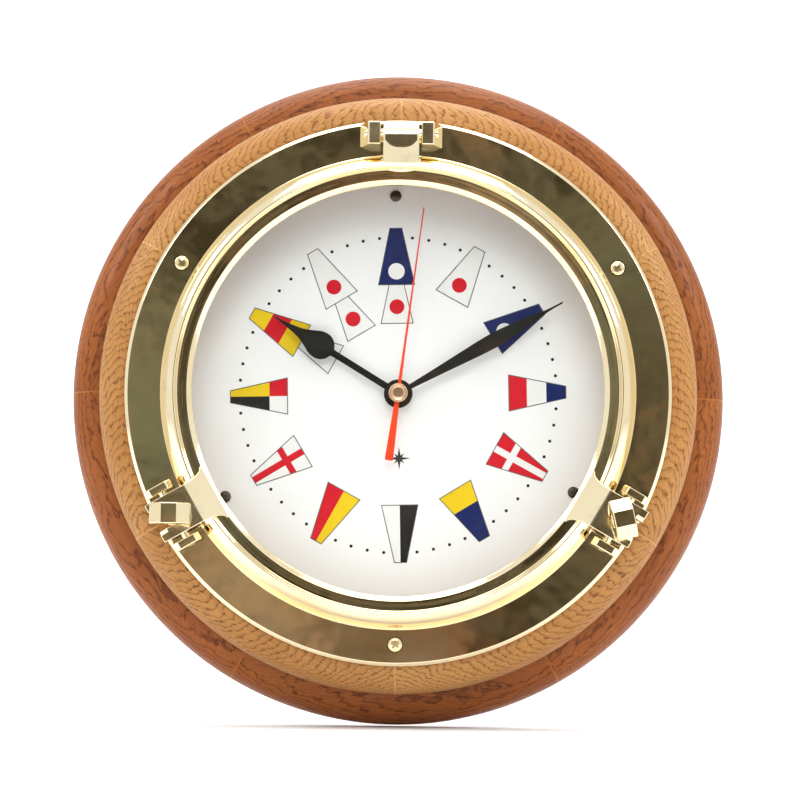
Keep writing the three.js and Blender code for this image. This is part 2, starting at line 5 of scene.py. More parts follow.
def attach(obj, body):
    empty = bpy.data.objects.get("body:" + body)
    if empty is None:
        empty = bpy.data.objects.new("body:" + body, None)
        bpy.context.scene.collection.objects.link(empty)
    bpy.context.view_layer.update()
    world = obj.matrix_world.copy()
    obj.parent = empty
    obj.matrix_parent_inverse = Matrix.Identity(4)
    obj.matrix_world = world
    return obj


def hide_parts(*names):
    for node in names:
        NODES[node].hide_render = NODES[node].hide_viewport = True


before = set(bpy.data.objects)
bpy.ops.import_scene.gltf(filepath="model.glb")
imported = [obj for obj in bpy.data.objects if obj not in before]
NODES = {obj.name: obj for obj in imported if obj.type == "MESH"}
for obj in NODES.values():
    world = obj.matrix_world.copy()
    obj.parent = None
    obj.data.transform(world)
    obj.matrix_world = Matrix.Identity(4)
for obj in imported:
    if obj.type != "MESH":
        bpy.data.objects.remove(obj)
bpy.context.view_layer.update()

scene = bpy.context.scene
rad = math.radians

# ----------------------------------------------------------------- geometry kit
# Everything is drawn in a face frame in millimetres: x right, y up, d = depth
# from the wall towards the viewer. W() turns it into the row frame in metres.
def W(x, y, d):
    return Vector((x / 1000.0, -d / 1000.0, y / 1000.0))

def new_object(name, bm, material=None, sharp=32.0):
    bmesh.ops.recalc_face_normals(bm, faces=bm.faces[:])
    me = bpy.data.meshes.new(name)
    bm.to_mesh(me)
    bm.free()
    me.polygons.foreach_set("use_smooth", [True] * len(me.polygons))
    me.set_sharp_from_angle(angle=rad(sharp))
    ob = bpy.data.objects.new(name, me)
    scene.collection.objects.link(ob)
    if material is not None:
        me.materials.append(material)
    return ob

def to_row(bm, matrix=None):
    for v in bm.verts:
        c = v.co
        if matrix is not None:
            c = matrix @ c
        v.co = W(c.x, c.y, c.z)

def lathe_bm(profile, n=256, on_axis=False, axis="z"):
    """profile in (radius, depth), closed on itself or ending on the axis"""
    bm = bmesh.new()
    rings = []
    for r, d in profile:
        if r < 1e-6:
            rings.append([bm.verts.new((0, 0, d))])
        else:
            rings.append([bm.verts.new((r * math.cos(2 * math.pi * i / n), r * math.sin(2 * math.pi * i / n), d)) for i in range(n)])
    pairs = list(zip(rings, rings[1:]))
    if not on_axis:
        pairs.append((rings[-1], rings[0]))
    for a, b in pairs:
        for i in range(n):
            j = (i + 1) % n
            if len(a) == 1 and len(b) == 1:
                continue
            if len(a) == 1:
                bm.faces.new((a[0], b[i], b[j]))
            elif len(b) == 1:
                bm.faces.new((a[i], a[j], b[0]))
            else:
                bm.faces.new((a[i], a[j], b[j], b[i]))
    return bm

def prism_bm(points, lo, hi, axes="xyd"):
    """outline pulled from lo to hi. axes: 'xyd' outline in x,y; 'ydx' outline in y,d pulled along x"""
    bm = bmesh.new()
    def put(a, b, c):
        return (a, b, c) if axes == "xyd" else (c, a, b)
    low = [bm.verts.new(put(a, b, lo)) for a, b in points]
    high = [bm.verts.new(put(a, b, hi)) for a, b in points]
    bm.faces.new(low[::-1])
    bm.faces.new(high)
    n = len(points)
    for i in range(n):
        j = (i + 1) % n
        bm.faces.new((low[i], low[j], high[j], high[i]))
    return bm

def rod_bm(r, lo, hi, n=48, centre=(0, 0), axis="x"):
    pts = [(centre[0] + r * math.cos(2 * math.pi * i / n), centre[1] + r * math.sin(2 * math.pi * i / n)) for i in range(n)]
    return prism_bm(pts, lo, hi, "ydx" if axis == "x" else "xyd")

def raw(name, bm):
    return new_object(name, bm)

def apply_mods(ob):
    dg = bpy.context.evaluated_depsgraph_get()
    dg.update()
    me = bpy.data.meshes.new_from_object(ob.evaluated_get(dg), preserve_all_data_layers=True, depsgraph=dg)
    ob.modifiers.clear()
    old = ob.data
    ob.data = me
    bpy.data.meshes.remove(old)
    return ob

def cut(ob, bm, op="DIFFERENCE"):
    other = raw("cutter_tmp", bm)
    m = ob.modifiers.new("b", "BOOLEAN")
    m.operation, m.solver, m.object = op, "EXACT", other
    apply_mods(ob)
    bpy.data.objects.remove(other)
    return ob

def bevel(ob, width, segments=2, angle=28.0):
    m = ob.modifiers.new("w", "WELD"); m.merge_threshold = 0.002
    m = ob.modifiers.new("v", "BEVEL")
    m.width, m.segments, m.limit_method, m.angle_limit = width, segments, "ANGLE", rad(angle)
    m.miter_outer = "MITER_SHARP"
    m.use_clamp_overlap = True
    m.harden_normals = False
    return apply_mods(ob)

def finish_piece(ob, body, material, replaces=(), matrix=None, sharp=32.0):
    """mm face-frame mesh -> row frame, shading, ride, material"""
    me = ob.data
    for v in me.vertices:
        c = v.co
        if matrix is not None:
            c = matrix @ c
        v.co = W(c.x, c.y, c.z)
    me.polygons.foreach_set("use_smooth", [True] * len(me.polygons))
    me.set_sharp_from_angle(angle=rad(sharp))
    me.materials.clear()
    me.materials.append(material)
    me.update()
    if len(me.polygons) > 3:
        m = ob.modifiers.new("n", "WEIGHTED_NORMAL")
        m.mode, m.weight, m.keep_sharp = "FACE_AREA", 50, True
        apply_mods(ob)
        if len(ob.data.materials) == 0:
            ob.data.materials.append(material)
    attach(ob, body)
    if replaces:
        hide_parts(*replaces)
    return ob

def clockwise(deg):
    return Matrix.Rotation(-rad(deg), 4, "Z")

def arc(cx, cy, r, a0, a1, n):
    return [(cx + r * math.cos(rad(a0 + (a1 - a0) * i / n)), cy + r * math.sin(rad(a0 + (a1 - a0) * i / n))) for i in range(n + 1)]

def round_profile(points, radii, n=5, closed=True):
    """fillet each corner of a profile by its own radius (0 keeps it)"""
    out = []
    count = len(points)
    for i, p in enumerate(points):
        r = radii[i] if isinstance(radii, (list, tuple)) else radii
        if r <= 0 or (not closed and i in (0, count - 1)):
            out.append(tuple(p)); continue
        a, b = Vector(points[i - 1]), Vector(points[(i + 1) % count])
        p = Vector(p)
        u, v = (a - p), (b - p)
        lu, lv = u.length, v.length
        u.normalize(); v.normalize()
        ang = u.angle(v)
        if ang > math.pi - 0.05:
            out.append(tuple(p)); continue
        t = min(r / math.tan(ang / 2), lu * 0.48, lv * 0.48)
        rr = t * math.tan(ang / 2)
        c = p + (u + v).normalized() * (rr / math.sin(ang / 2))
        s, e = p + u * t, p + v * t
        for k in range(n + 1):
            f = k / n
            q = (s - c).lerp(e - c, f).normalized() * rr + c
            out.append((q.x, q.y))
    return out

# -------------------------------------------------------------------- materials
class Nodes:
    def __init__(self, name):
        self.m = bpy.data.materials.new(name)
        self.m.use_nodes = True
        self.t = self.m.node_tree
        self.t.nodes.clear()
        self.out = self.t.nodes.new("ShaderNodeOutputMaterial")
        self.b = self.t.nodes.new("ShaderNodeBsdfPrincipled")
        self.t.links.new(self.b.outputs[0], self.out.inputs[0])
    def n(self, kind, **props):
        node = self.t.nodes.new(kind)
        for k, v in props.items():
            if k.startswith("in_"):
                node.inputs[k[3:].replace("_", " ")].default_value = v
            else:
                setattr(node, k, v)
        return node
    def l(self, a, b):
        self.t.links.new(a, b)
    def obj(self):
        return self.n("ShaderNodeTexCoord").outputs["Object"]
    def mapping(self, source, scale=(1, 1, 1), loc=(0, 0, 0)):
        m = self.n("ShaderNodeMapping")
        m.inputs["Scale"].default_value = scale
        m.inputs["Location"].default_value = loc
        self.l(source, m.inputs["Vector"])
        return m.outputs[0]
    def noise(self, vec, scale, detail=4.0, rough=0.5, distort=0.0):
        x = self.n("ShaderNodeTexNoise")
        x.inputs["Scale"].default_value = scale
        x.inputs["Detail"].default_value = detail
        x.inputs["Roughness"].default_value = rough
        x.inputs["Distortion"].default_value = distort
        self.l(vec, x.inputs["Vector"])
        return x.outputs["Fac"]
    def ramp(self, fac, stops, mode="LINEAR"):
        r = self.n("ShaderNodeValToRGB")
        r.color_ramp.interpolation = mode
        while len(r.color_ramp.elements) < len(stops):
            r.color_ramp.elements.new(0.5)
        for e, (p, c) in zip(r.color_ramp.elements, stops):
            e.position = p
            e.color = (*c, 1.0) if len(c) == 3 else c
        self.l(fac, r.inputs[0])
        return r.outputs[0]
    def math(self, op, a, b=None, c=None, clamp=False):
        x = self.n("ShaderNodeMath", operation=op, use_clamp=clamp)
        for i, v in enumerate((a, b, c)):
            if v is None:
                continue
            if isinstance(v, (int, float)):
                x.inputs[i].default_value = v
            else:
                self.l(v, x.inputs[i])
        return x.outputs[0]
    def mix(self, fac, a, b, mode="MIX"):
        x = self.n("ShaderNodeMix", data_type="RGBA", blend_type=mode)
        for sock, v in ((x.inputs[0], fac), (x.inputs[6], a), (x.inputs[7], b)):
            if isinstance(v, (int, float)):
                sock.default_value = v
            elif isinstance(v, tuple):
                sock.default_value = (*v, 1.0)
            else:
                self.l(v, sock)
        return x.outputs[2]
    def bump(self, height, strength, distance):
        x = self.n("ShaderNodeBump")
        x.inputs["Strength"].default_value = strength
        x.inputs["Distance"].default_value = distance
        self.l(height, x.inputs["Height"])
        self.l(x.outputs[0], self.b.inputs["Normal"])
    def set(self, **kw):
        for k, v in kw.items():
            s = self.b.inputs[k.replace("_", " ")]
            if isinstance(v, (int, float)):
                s.default_value = v
            elif isinstance(v, tuple):
                s.default_value = (*v, 1.0) if len(v) == 3 else v
            else:
                self.l(v, s)
        return self

def brass_material(name, rough=0.04, tone=(0.90, 0.785, 0.53)):
    k = Nodes(name)
    o = k.obj()
    cloud = k.noise(o, 26.0, 4.0, 0.55)
    fine = k.noise(o, 900.0, 3.0, 0.6)
    smudge = k.noise(k.mapping(o, (1, 1, 1), (3.1, 0.7, 1.9)), 75.0, 3.0, 0.5, 0.6)
    warm = tuple(c * f for c, f in zip(tone, (0.97, 0.90, 0.78)))
    col = k.mix(k.ramp(cloud, [(0.35, (0, 0, 0)), (0.7, (1, 1, 1))]), tone, warm)
    dark = k.mix(k.ramp(smudge, [(0.60, (0, 0, 0)), (0.82, (1, 1, 1))]), col, tuple(c * 0.80 for c in tone))
    k.set(Base_Color=dark, Metallic=1.0, Coat_Weight=0.25, Coat_Roughness=0.05)
    k.b.inputs["Coat Weight"].default_value = 0.25
    r = k.math("ADD", k.math("MULTIPLY", k.ramp(smudge, [(0.45, (0, 0, 0)), (0.8, (1, 1, 1))]), 0.07), rough)
    r = k.math("ADD", r, k.math("MULTIPLY", fine, 0.03))
    k.l(r, k.b.inputs["Roughness"])
    long = k.noise(k.mapping(o, (1, 1, 1)), 55.0, 2.0, 0.45)
    h = k.math("ADD", k.math("MULTIPLY", long, 1.0), k.math("MULTIPLY", fine, 0.02))
    k.bump(h, 0.45, 0.00035)
    return k.m

BRASS = brass_material("lacquered_brass")
BRASS_CAST = brass_material("polished_cast_brass", 0.09, (0.91, 0.80, 0.55))
BRASS_SCREW = brass_material("screw_brass", 0.18, (0.86, 0.72, 0.44))

def oak_material(name, light, mid, dark, line, slant, spacing):
    """oak: growth rings about a slanted heart line, open pores, ray fleck and a satin varnish.
    'grain' holds each plank's own coordinates in millimetres, 'seam' the distance to its nearest glue line."""
    k = Nodes(name)
    g = k.n("ShaderNodeAttribute", attribute_name="grain").outputs["Vector"]
    sep = k.n("ShaderNodeSeparateXYZ"); k.l(g, sep.inputs[0])
    u, v, w = sep.outputs
    warp = k.n("ShaderNodeTexNoise"); warp.inputs["Scale"].default_value = 0.030; warp.inputs["Detail"].default_value = 3.0
    k.l(k.mapping(g, (0.55, 1, 1)), warp.inputs["Vector"])
    wob = k.math("MULTIPLY", k.math("SUBTRACT", warp.outputs["Fac"], 0.5), 26.0)
    ripple = k.math("MULTIPLY", k.math("SUBTRACT", k.noise(k.mapping(g, (0.5, 1, 1)), 0.16, 2.0, 0.5), 0.5), 3.8)
    ripple = k.math("ADD", ripple, k.math("MULTIPLY", k.math("SUBTRACT", k.noise(k.mapping(g, (0.35, 1, 1)), 0.60, 2.0, 0.5), 0.5), 1.5))
    # distance from the heart line, which slants along the plank: this makes the cathedral figure
    vv = k.math("ADD", v, wob)
    ww = k.math("ADD", k.math("ADD", w, k.math("MULTIPLY", u, slant)), ripple)
    dist = k.math("SQRT", k.math("ADD", k.math("MULTIPLY", vv, k.math("MULTIPLY", vv, 0.30)), k.math("MULTIPLY", ww, ww)))
    ring = k.math("FRACT", k.math("DIVIDE", dist, spacing))
    early = k.ramp(ring, [(0.0, (1, 1, 1)), (0.10, (0.70, 0.70, 0.70)), (0.26, (0.10, 0.10, 0.10)), (0.88, (0.0, 0.0, 0.0)), (1.0, (0.92, 0.92, 0.92))])
    pores = k.noise(k.mapping(g, (0.055, 1.0, 1.0)), 2.4, 3.0, 0.65)
    pore = k.ramp(pores, [(0.50, (0, 0, 0)), (0.60, (1, 1, 1))])
    pore_in = k.math("MULTIPLY", pore, k.math("ADD", k.math("MULTIPLY", early, 0.75), 0.30))
    fleck = k.ramp(k.noise(k.mapping(g, (0.14, 0.9, 0.35)), 1.1, 2.0, 0.5), [(0.66, (0, 0, 0)), (0.74, (1, 1, 1))])
    patch = k.noise(k.mapping(g, (0.25, 1, 1)), 0.05, 3.0, 0.5)
    col = k.mix(k.ramp(patch, [(0.3, (0, 0, 0)), (0.7, (1, 1, 1))]), mid, light)
    col = k.mix(k.math("MULTIPLY", early, 0.70), col, dark)
    col = k.mix(k.math("MULTIPLY", pore_in, 0.88), col, line)
    col = k.mix(k.math("MULTIPLY", fleck, 0.16), col, light)
    tint = k.n("ShaderNodeAttribute", attribute_name="plank").outputs["Fac"]
    col = k.mix(0.9, col, k.ramp(tint, [(0.0, (0.84, 0.82, 0.80)), (1.0, (1.0, 1.0, 1.0))]), "MULTIPLY")
    seam = k.n("ShaderNodeAttribute", attribute_name="seam").outputs["Fac"]
    glue = k.ramp(k.math("DIVIDE", seam, 1.0, clamp=True), [(0.0, (1, 1, 1)), (0.16, (1, 1, 1)), (0.42, (0, 0, 0))])
    col = k.mix(k.math("MULTIPLY", glue, 0.55), col, tuple(min(1.0, c * 1.6) for c in light))
    k.set(Base_Color=col, Coat_Weight=0.10, Coat_Roughness=0.16, Specular_IOR_Level=0.09)
    rough = k.math("ADD", 0.34, k.math("MULTIPLY", pore_in, 0.30))
    rough = k.math("ADD", rough, k.math("MULTIPLY", patch, 0.06))
    k.l(rough, k.b.inputs["Roughness"])
    h = k.math("SUBTRACT", k.math("MULTIPLY", k.noise(g, 0.6, 2.0, 0.5), 0.25), k.math("MULTIPLY", pore_in, 0.8))
    k.bump(h, 0.45, 0.00016)
    return k.m

OAK_LOW = oak_material("oak_reddish", (0.345, 0.112, 0.027), (0.245, 0.070, 0.016), (0.105, 0.026, 0.008), (0.042, 0.011, 0.004), 0.05, 1.4)
OAK_UP = oak_material("oak_honey", (0.53, 0.280, 0.095), (0.43, 0.202, 0.060), (0.22, 0.078, 0.020), (0.085, 0.029, 0.009), 0.42, 1.5)

def paint_material(name, colour, rough=0.35, coat=0.0, speckle=0.05, spec=0.15):
    k = Nodes(name)
    o = k.obj()
    f = k.noise(o, 320.0, 3.0, 0.6)
    broad = k.noise(o, 22.0, 2.0, 0.5)
    lo = tuple(c * (1 - speckle) for c in colour)
    hi = tuple(min(1.0, c * (1 + speckle)) for c in colour)
    col = k.mix(k.ramp(broad, [(0.3, (0, 0, 0)), (0.7, (1, 1, 1))]), lo, hi)
    k.set(Base_Color=col, Coat_Weight=coat, Coat_Roughness=0.1, Specular_IOR_Level=spec)
    k.l(k.math("ADD", rough, k.math("MULTIPLY", f, 0.08)), k.b.inputs["Roughness"])
    k.bump(f, 0.10, 0.00005)
    return k.m

DIAL = paint_material("dial_enamel", (0.93, 0.935, 0.93), 0.42, 0.0, 0.012, 0.3)
INK = {
    "black": paint_material("ink_black", (0.012, 0.011, 0.012), 0.45),
    "navy": paint_material("ink_navy", (0.006, 0.016, 0.115), 0.45),
    "red": paint_material("ink_red", (0.66, 0.006, 0.020), 0.45),
    "yellow": paint_material("ink_yellow", (0.86, 0.60, 0.010), 0.45),
    "white": paint_material("ink_white", (0.88, 0.88, 0.86), 0.45, 0.0, 0.01),
    "line": paint_material("ink_outline", (0.085, 0.085, 0.09), 0.5),
}
HAND_BLACK = paint_material("hand_black_paint", (0.010, 0.009, 0.008), 0.34, 0.15)
HAND_RED = paint_material("hand_red_paint", (0.80, 0.055, 0.012), 0.30, 0.3)
PLASTIC_BLACK = paint_material("movement_plastic", (0.018, 0.018, 0.019), 0.5, 0.0, 0.15)
NYLON = paint_material("gear_nylon_white", (0.78, 0.75, 0.66), 0.45, 0.0, 0.04)
BOARD = paint_material("board_mask", (0.02, 0.13, 0.045), 0.3, 0.3, 0.2)
RUBBER = paint_material("seal_rubber", (0.018, 0.018, 0.018), 0.75, 0.0, 0.2)

def metal_material(name, colour, rough, streak=(1, 1, 1), amount=0.12):
    k = Nodes(name)
    o = k.obj()
    s = k.noise(k.mapping(o, streak), 420.0, 3.0, 0.6)
    c = k.noise(o, 60.0, 3.0, 0.5)
    k.set(Base_Color=k.mix(k.ramp(c, [(0.3, (0, 0, 0)), (0.75, (1, 1, 1))]), tuple(x * 0.8 for x in colour), colour), Metallic=1.0)
    k.l(k.math("ADD", rough, k.math("MULTIPLY", s, amount)), k.b.inputs["Roughness"])
    k.bump(s, 0.15, 0.00004)
    return k.m

ZINC = metal_material("zinc_plated_steel", (0.58, 0.58, 0.56), 0.28, (0.1, 1, 1))
BLACKENED = metal_material("blackened_screw", (0.10, 0.085, 0.07), 0.32)
COPPER = metal_material("enamelled_copper", (0.62, 0.26, 0.10), 0.30, (1, 1, 14))

def cell_material():
    k = Nodes("cell_jacket_print")
    o = k.obj()
    sep = k.n("ShaderNodeSeparateXYZ"); k.l(o, sep.inputs[0])
    band = k.ramp(k.math("ADD", k.math("MULTIPLY", sep.outputs[0], 10.0), 0.5), [(0.0, (0.02, 0.02, 0.022)), (0.62, (0.02, 0.02, 0.022)), (0.63, (0.60, 0.36, 0.06)), (0.73, (0.60, 0.36, 0.06)), (0.745, (0.55, 0.55, 0.54))], "CONSTANT")
    n = k.noise(o, 500.0, 2.0, 0.5)
    k.set(Base_Color=band, Coat_Weight=0.4, Coat_Roughness=0.1)
    k.l(k.math("ADD", 0.25, k.math("MULTIPLY", n, 0.1)), k.b.inputs["Roughness"])
    k.bump(n, 0.05, 0.00004)
    return k.m
CELL = cell_material()

def glass_material():
    k = Nodes("clear_float_glass")
    k.set(Base_Color=(0.99, 1.0, 0.995), Transmission_Weight=1.0, IOR=1.45)
    n = k.noise(k.obj(), 30.0, 2.0, 0.5)
    k.l(k.math("MULTIPLY", n, 0.01), k.b.inputs["Roughness"])
    lp = k.n("ShaderNodeLightPath")
    tr = k.n("ShaderNodeBsdfTransparent"); tr.inputs[0].default_value = (0.97, 0.985, 0.98, 1)
    mx = k.n("ShaderNodeMixShader")
    k.l(lp.outputs["Is Shadow Ray"], mx.inputs[0])
    k.l(k.b.outputs[0], mx.inputs[1]); k.l(tr.outputs[0], mx.inputs[2])
    k.l(mx.outputs[0], k.out.inputs[0])
    return k.m
GLASS = glass_material()

# ------------------------------------------------------------------------ camera
ALPHA = rad(4.7)
CAM_ROLL = 0.7
f = Vector((0, math.cos(ALPHA), math.sin(ALPHA)))
up = Vector((0, -math.sin(ALPHA), math.cos(ALPHA)))
right = Vector((1, 0, 0))
cam_data = bpy.data.cameras.new("camera")
cam_data.lens, cam_data.sensor_width, cam_data.sensor_fit = 112.5, 36.0, "HORIZONTAL"
cam_data.clip_start, cam_data.clip_end = 0.05, 20.0
cam = bpy.data.objects.new("camera", cam_data)
scene.collection.objects.link(cam)
cam.location = Vector((0, -0.021, 0)) + right * 0.00076 - up * 0.00212 - f * 1.0
roll = rad(CAM_ROLL)
right, up = right * math.cos(roll) + up * math.sin(roll), up * math.cos(roll) - right * math.sin(roll)
m3 = Matrix((right, up, -f)).transposed()
cam.rotation_euler = m3.to_euler()
scene.camera = cam

# -------------------------------------------------------------------- oak pieces
def sector_ring(name, profile, centre_deg, half_deg, steps, inset):
    """sixty-degree block of the ring, mitred so that its glue faces are flat"""
    bm = bmesh.new()
    rows = []
    for i in range(steps + 1):
        t = -half_deg + 2 * half_deg * i / steps
        row = []
        for r, d in profile:
            # keep the glue faces 'inset' mm inside the true sector plane
            lim = half_deg - math.degrees(math.asin(inset / r))
            a = rad(t / half_deg * lim)
            row.append(bm.verts.new((r * math.sin(a), r * math.cos(a), d)))
        rows.append(row)
    n = len(profile)
    for a, b in zip(rows, rows[1:]):
        for j in range(n):
            k = (j + 1) % n
            bm.faces.new((a[j], a[k], b[k], b[j]))
    bm.faces.new(rows[0][::-1])
    bm.faces.new(rows[-1])
    bmesh.ops.recalc_face_normals(bm, faces=bm.faces[:])
    me = bpy.data.meshes.new(name)
    bm.to_mesh(me); bm.free()
    ob = bpy.data.objects.new(name, me)
    scene.collection.objects.link(ob)
    return ob

def seeded(i, k):
    x = math.sin(i * 12.9898 + k * 78.233) * 43758.5453
    return x - math.floor(x)

def oak_piece(name, profile, centre_deg, body_node, material, seed, mirror, heart, holes=()):
    ob = sector_ring(name, profile, centre_deg, 30.0, 48, 0.06)
    for h in holes:
        cut(ob, h)
    me = ob.data
    for label, kind in (("grain", "FLOAT_VECTOR"), ("seam", "FLOAT"), ("plank", "FLOAT")):
        me.attributes.new(label, kind, "POINT")
    shift = (seeded(seed, 1) - 0.5) * 60
    lean = (seeded(seed, 2) - 0.5) * 10
    tone = seeded(seed, 3)
    sn, cs = math.sin(rad(30)), math.cos(rad(30))
    grain, seam = [], []
    for v in me.vertices:
        x, y, d = v.co
        u = -x if mirror else x
        grain += [u + heart[0] + shift, y - heart[1] + lean, d - heart[2]]
        seam.append(min(abs(x * cs - y * sn), abs(-x * cs - y * sn)))
    me.attributes["grain"].data.foreach_set("vector", grain)
    me.attributes["seam"].data.foreach_set("value", seam)
    me.attributes["plank"].data.foreach_set("value", [tone] * len(seam))
    return finish_piece(ob, "case", material, (body_node,), clockwise(centre_deg), 40)

low_profile = [(62.0, 0.6), (62.6, 0.0), (131.1, 0.0), (131.76, 0.7)] + arc(118.76, 6.0, 13.0, 0, 88, 22) + [(118.0, 19.0), (96.0, 19.0), (75.0, 19.0), (62.8, 19.0), (62.0, 18.3)]
up_profile = [(86.5, 19.25), (118.4, 19.25), (118.9, 19.7), (119.0, 20.3)] + arc(108.5, 25.5, 10.5, 0, 90, 20) + [(107.0, 36.0), (97.0, 36.0), (87.2, 36.0), (86.5, 35.3)]
def box_bm(x0, x1, y0, y1, d0, d1):
    return prism_bm([(x0, y0), (x1, y0), (x1, y1), (x0, y1)], d0, d1)
for i in range(6):
    holes = []
    if i == 0:
        holes = [box_bm(-20.3, 20.3, 103.7, 120.3, -1, 1.9), rod_bm(5.2, -1.2, 7.0, 40, (0, 112), "z")]
    oak_piece(f"oak_lower_{i+1}", low_profile, 60 * i, f"lower_ring_segment_{i+1}", OAK_LOW, i + 1, i % 2 == 1,
              (0.0, 106 + 14 * (seeded(i, 7) - 0.5), -14.0 - 10 * seeded(i, 8)), holes)
for i in range(6):
    oak_piece(f"oak_upper_{i+1}", up_profile, 30 + 60 * i, f"upper_ring_segment_{i+1}", OAK_UP, i + 11, i % 2 == 0,
              (0.0, 104 + 12 * (seeded(i, 9) - 0.5), 8.0 - 8 * seeded(i, 10)))

# ------------------------------------------------------------------------ flange
fl_profile = round_profile([(86.2, 36.3), (107.8, 36.3), (107.8, 37.6), (106.5, 39.0), (88.0, 39.0), (88.0, 41.7), (86.2, 41.7)],
                           [0.2, 0.3, 0.7, 0.5, 0.3, 0.35, 0.3], 4)
flange = raw("flange", lathe_bm(fl_profile, 288))
def ear_bm(side):
    s = side
    pts = [(8.0 * s, 38.0), (8.0 * s, 47.3), (12.9 * s, 47.3), (16.2 * s, 39.4), (16.2 * s, 38.0)]
    bm = bmesh.new()
    lo = [bm.verts.new((x, 96.6, d)) for x, d in pts]
    hi = [bm.verts.new((x, 105.7, d)) for x, d in pts]
    bm.faces.new(lo); bm.faces.new(hi[::-1])
    for a in range(5):
        b = (a + 1) % 5
        bm.faces.new((lo[a], hi[a], hi[b], lo[b]))
    bmesh.ops.recalc_face_normals(bm, faces=bm.faces[:])
    return bm
cone = [(0, 36), (1.8, 36.0), (1.8, 36.95), (3.1, 38.9), (3.1, 40.5), (0, 40.5)]
for a in (60, 180, 300):
    bm = lathe_bm(cone, 40, True)
    bm.transform(clockwise(a) @ Matrix.Translation((0, 99.3, 0)))
    cut(flange, bm)
for a in (120, 240):
    bm = box_bm(-3.3, 3.3, 95.9, 110, 36, 44)
    bm.transform(clockwise(a))
    cut(flange, bm)
finish_piece(flange, "case", BRASS, ("flange_ring",), None, 30)
for side, nm in ((1, "right"), (-1, "left")):
    ear = raw(f"hinge_ear_{nm}", ear_bm(side))
    bevel(ear, 0.5, 3)
    cut(ear, rod_bm(1.7, -20, 20, 32, (101.4, 44.8)))
    finish_piece(ear, "case", BRASS_CAST, (), None, 30)
ear_profile = [(94.8, 38.2), (94.8, 44.4), (96.9, 46.5), (104.2, 46.5), (106.5, 44.2), (106.5, 38.2)]
for a, nm in ((120, "right"), (240, "left")):
    for k, (x0, x1) in enumerate(((9.9, 13.3), (-13.3, -9.9))):
        ear = raw(f"dog_ear_{nm}_{k+1}", prism_bm(ear_profile, x0, x1, "ydx"))
        bevel(ear, 0.45, 3)
        cut(ear, rod_bm(1.6, -20, 20, 28, (100, 41)))
        finish_piece(ear, "case", BRASS_CAST, (), clockwise(a), 30)

# --------------------------------------------------------------------------- lid
lid_pts = [(84.5, 39.3), (85.7, 39.3), (85.7, 43.9), (89.5, 43.9), (89.5, 39.3), (93.6, 39.3)]
shoulder = [(93.55, 40.0), (93.2, 41.8), (92.6, 43.6), (91.85, 45.2), (91.0, 46.6), (90.1, 47.8), (89.2, 48.7), (88.5, 49.2), (88.0, 49.42)]
crest = [(87.6, 49.5), (87.25, 49.42), (86.95, 49.1), (86.75, 48.6), (86.6, 48.1), (86.35, 47.75), (85.9, 47.62), (84.2, 47.5), (82.55, 47.38)]
lip = [(82.3, 47.3), (82.1, 47.15), (81.3, 46.62), (80.75, 46.22), (80.55, 46.0), (80.5, 45.8), (80.5, 45.5), (80.7, 45.3), (84.3, 45.3), (84.5, 45.1)]
lid = raw("lid", lathe_bm(lid_pts + shoulder + crest + lip, 288))
finish_piece(lid, "lid", BRASS, ("lid_ring",), None, 34)

# hinge lug: one loft across the width, sloped arm, small flat, and a back that rolls round the barrel
def lug_bm():
    bm = bmesh.new()
    marks = [-1, -0.985, -0.96, -0.93, -0.89] + [-0.84 + 1.68 * i / 26 for i in range(27)] + [0.89, 0.93, 0.96, 0.985, 1]
    sections = []
    for sx in marks:
        y_in = 85.2 + 1.2 * sx * sx
        edge = max(0.0, (abs(sx) - 0.88) / 0.12)
        drop = 0.55 * (1 - math.sqrt(max(0.0, 1 - edge * edge)))
        ring = []
        ys = [y_in + v for v in (0.0, 0.08, 0.25, 0.5, 0.8, 1.2)] + [y_in + 1.2 + (94.0 - y_in - 1.2) * i / 8 for i in range(1, 9)]
        ys += [94.0 + 5.8 * i / 20 for i in range(1, 21)] + [99.8 + 6.1 * math.sin(rad(7.5 * i)) for i in range(1, 13)]
        for y in ys:
            w = 7.0 + (0.0 if y >= 91.0 else 3.2 * (1 - math.sqrt(max(0.0, 1 - ((91.0 - y) / 6.0) ** 2))))
            x = sx * w
            y0 = 94.9 + 2.7 * min(1.0, abs(x) / 6.3) ** 3
            if y < y0:
                d = 50.6 - (y0 - y) * 0.26
            elif y <= 99.8:
                d = 50.6
            else:
                d = 44.9 + 5.7 * math.sqrt(max(0.0, 1 - ((y - 99.8) / 6.1) ** 2))
            if y < y_in + 1.2:
                d -= 1.3 * (1 - math.sqrt(max(0.0, 1 - ((y_in + 1.2 - y) / 1.2) ** 2)))
            ring.append((x, y, d - drop))
        under = [(101.4 + 4.5 * math.cos(rad(t)), 44.8 + 4.5 * math.sin(rad(t))) for t in range(-10, -91, -10)]
        under += [(97.5, 40.9), (93.4, 41.4), (91.0, 44.2), (88.2, 45.8), (86.9, 46.2)]
        for y, d in under:
            w = 7.0 + (0.0 if y >= 91.0 else 3.2 * (1 - math.sqrt(max(0.0, 1 - ((91.0 - y) / 6.0) ** 2))))
            ring.append((sx * w, y, d))
        sections.append([bm.verts.new(q) for q in ring])
    n = len(sections[0])
    for a, b in zip(sections, sections[1:]):
        for i in range(n):
            j = (i + 1) % n
            bm.faces.new((a[i], a[j], b[j], b[i]))
    bm.faces.new(sections[0][::-1])
    bm.faces.new(sections[-1])
    bmesh.ops.recalc_face_normals(bm, faces=bm.faces[:])
    return bm
arm = raw("hinge_arm", lug_bm())
cut(arm, rod_bm(1.75, -9, 9, 32, (101.4, 44.8)))
finish_piece(arm, "lid", BRASS_CAST, (), None, 24)

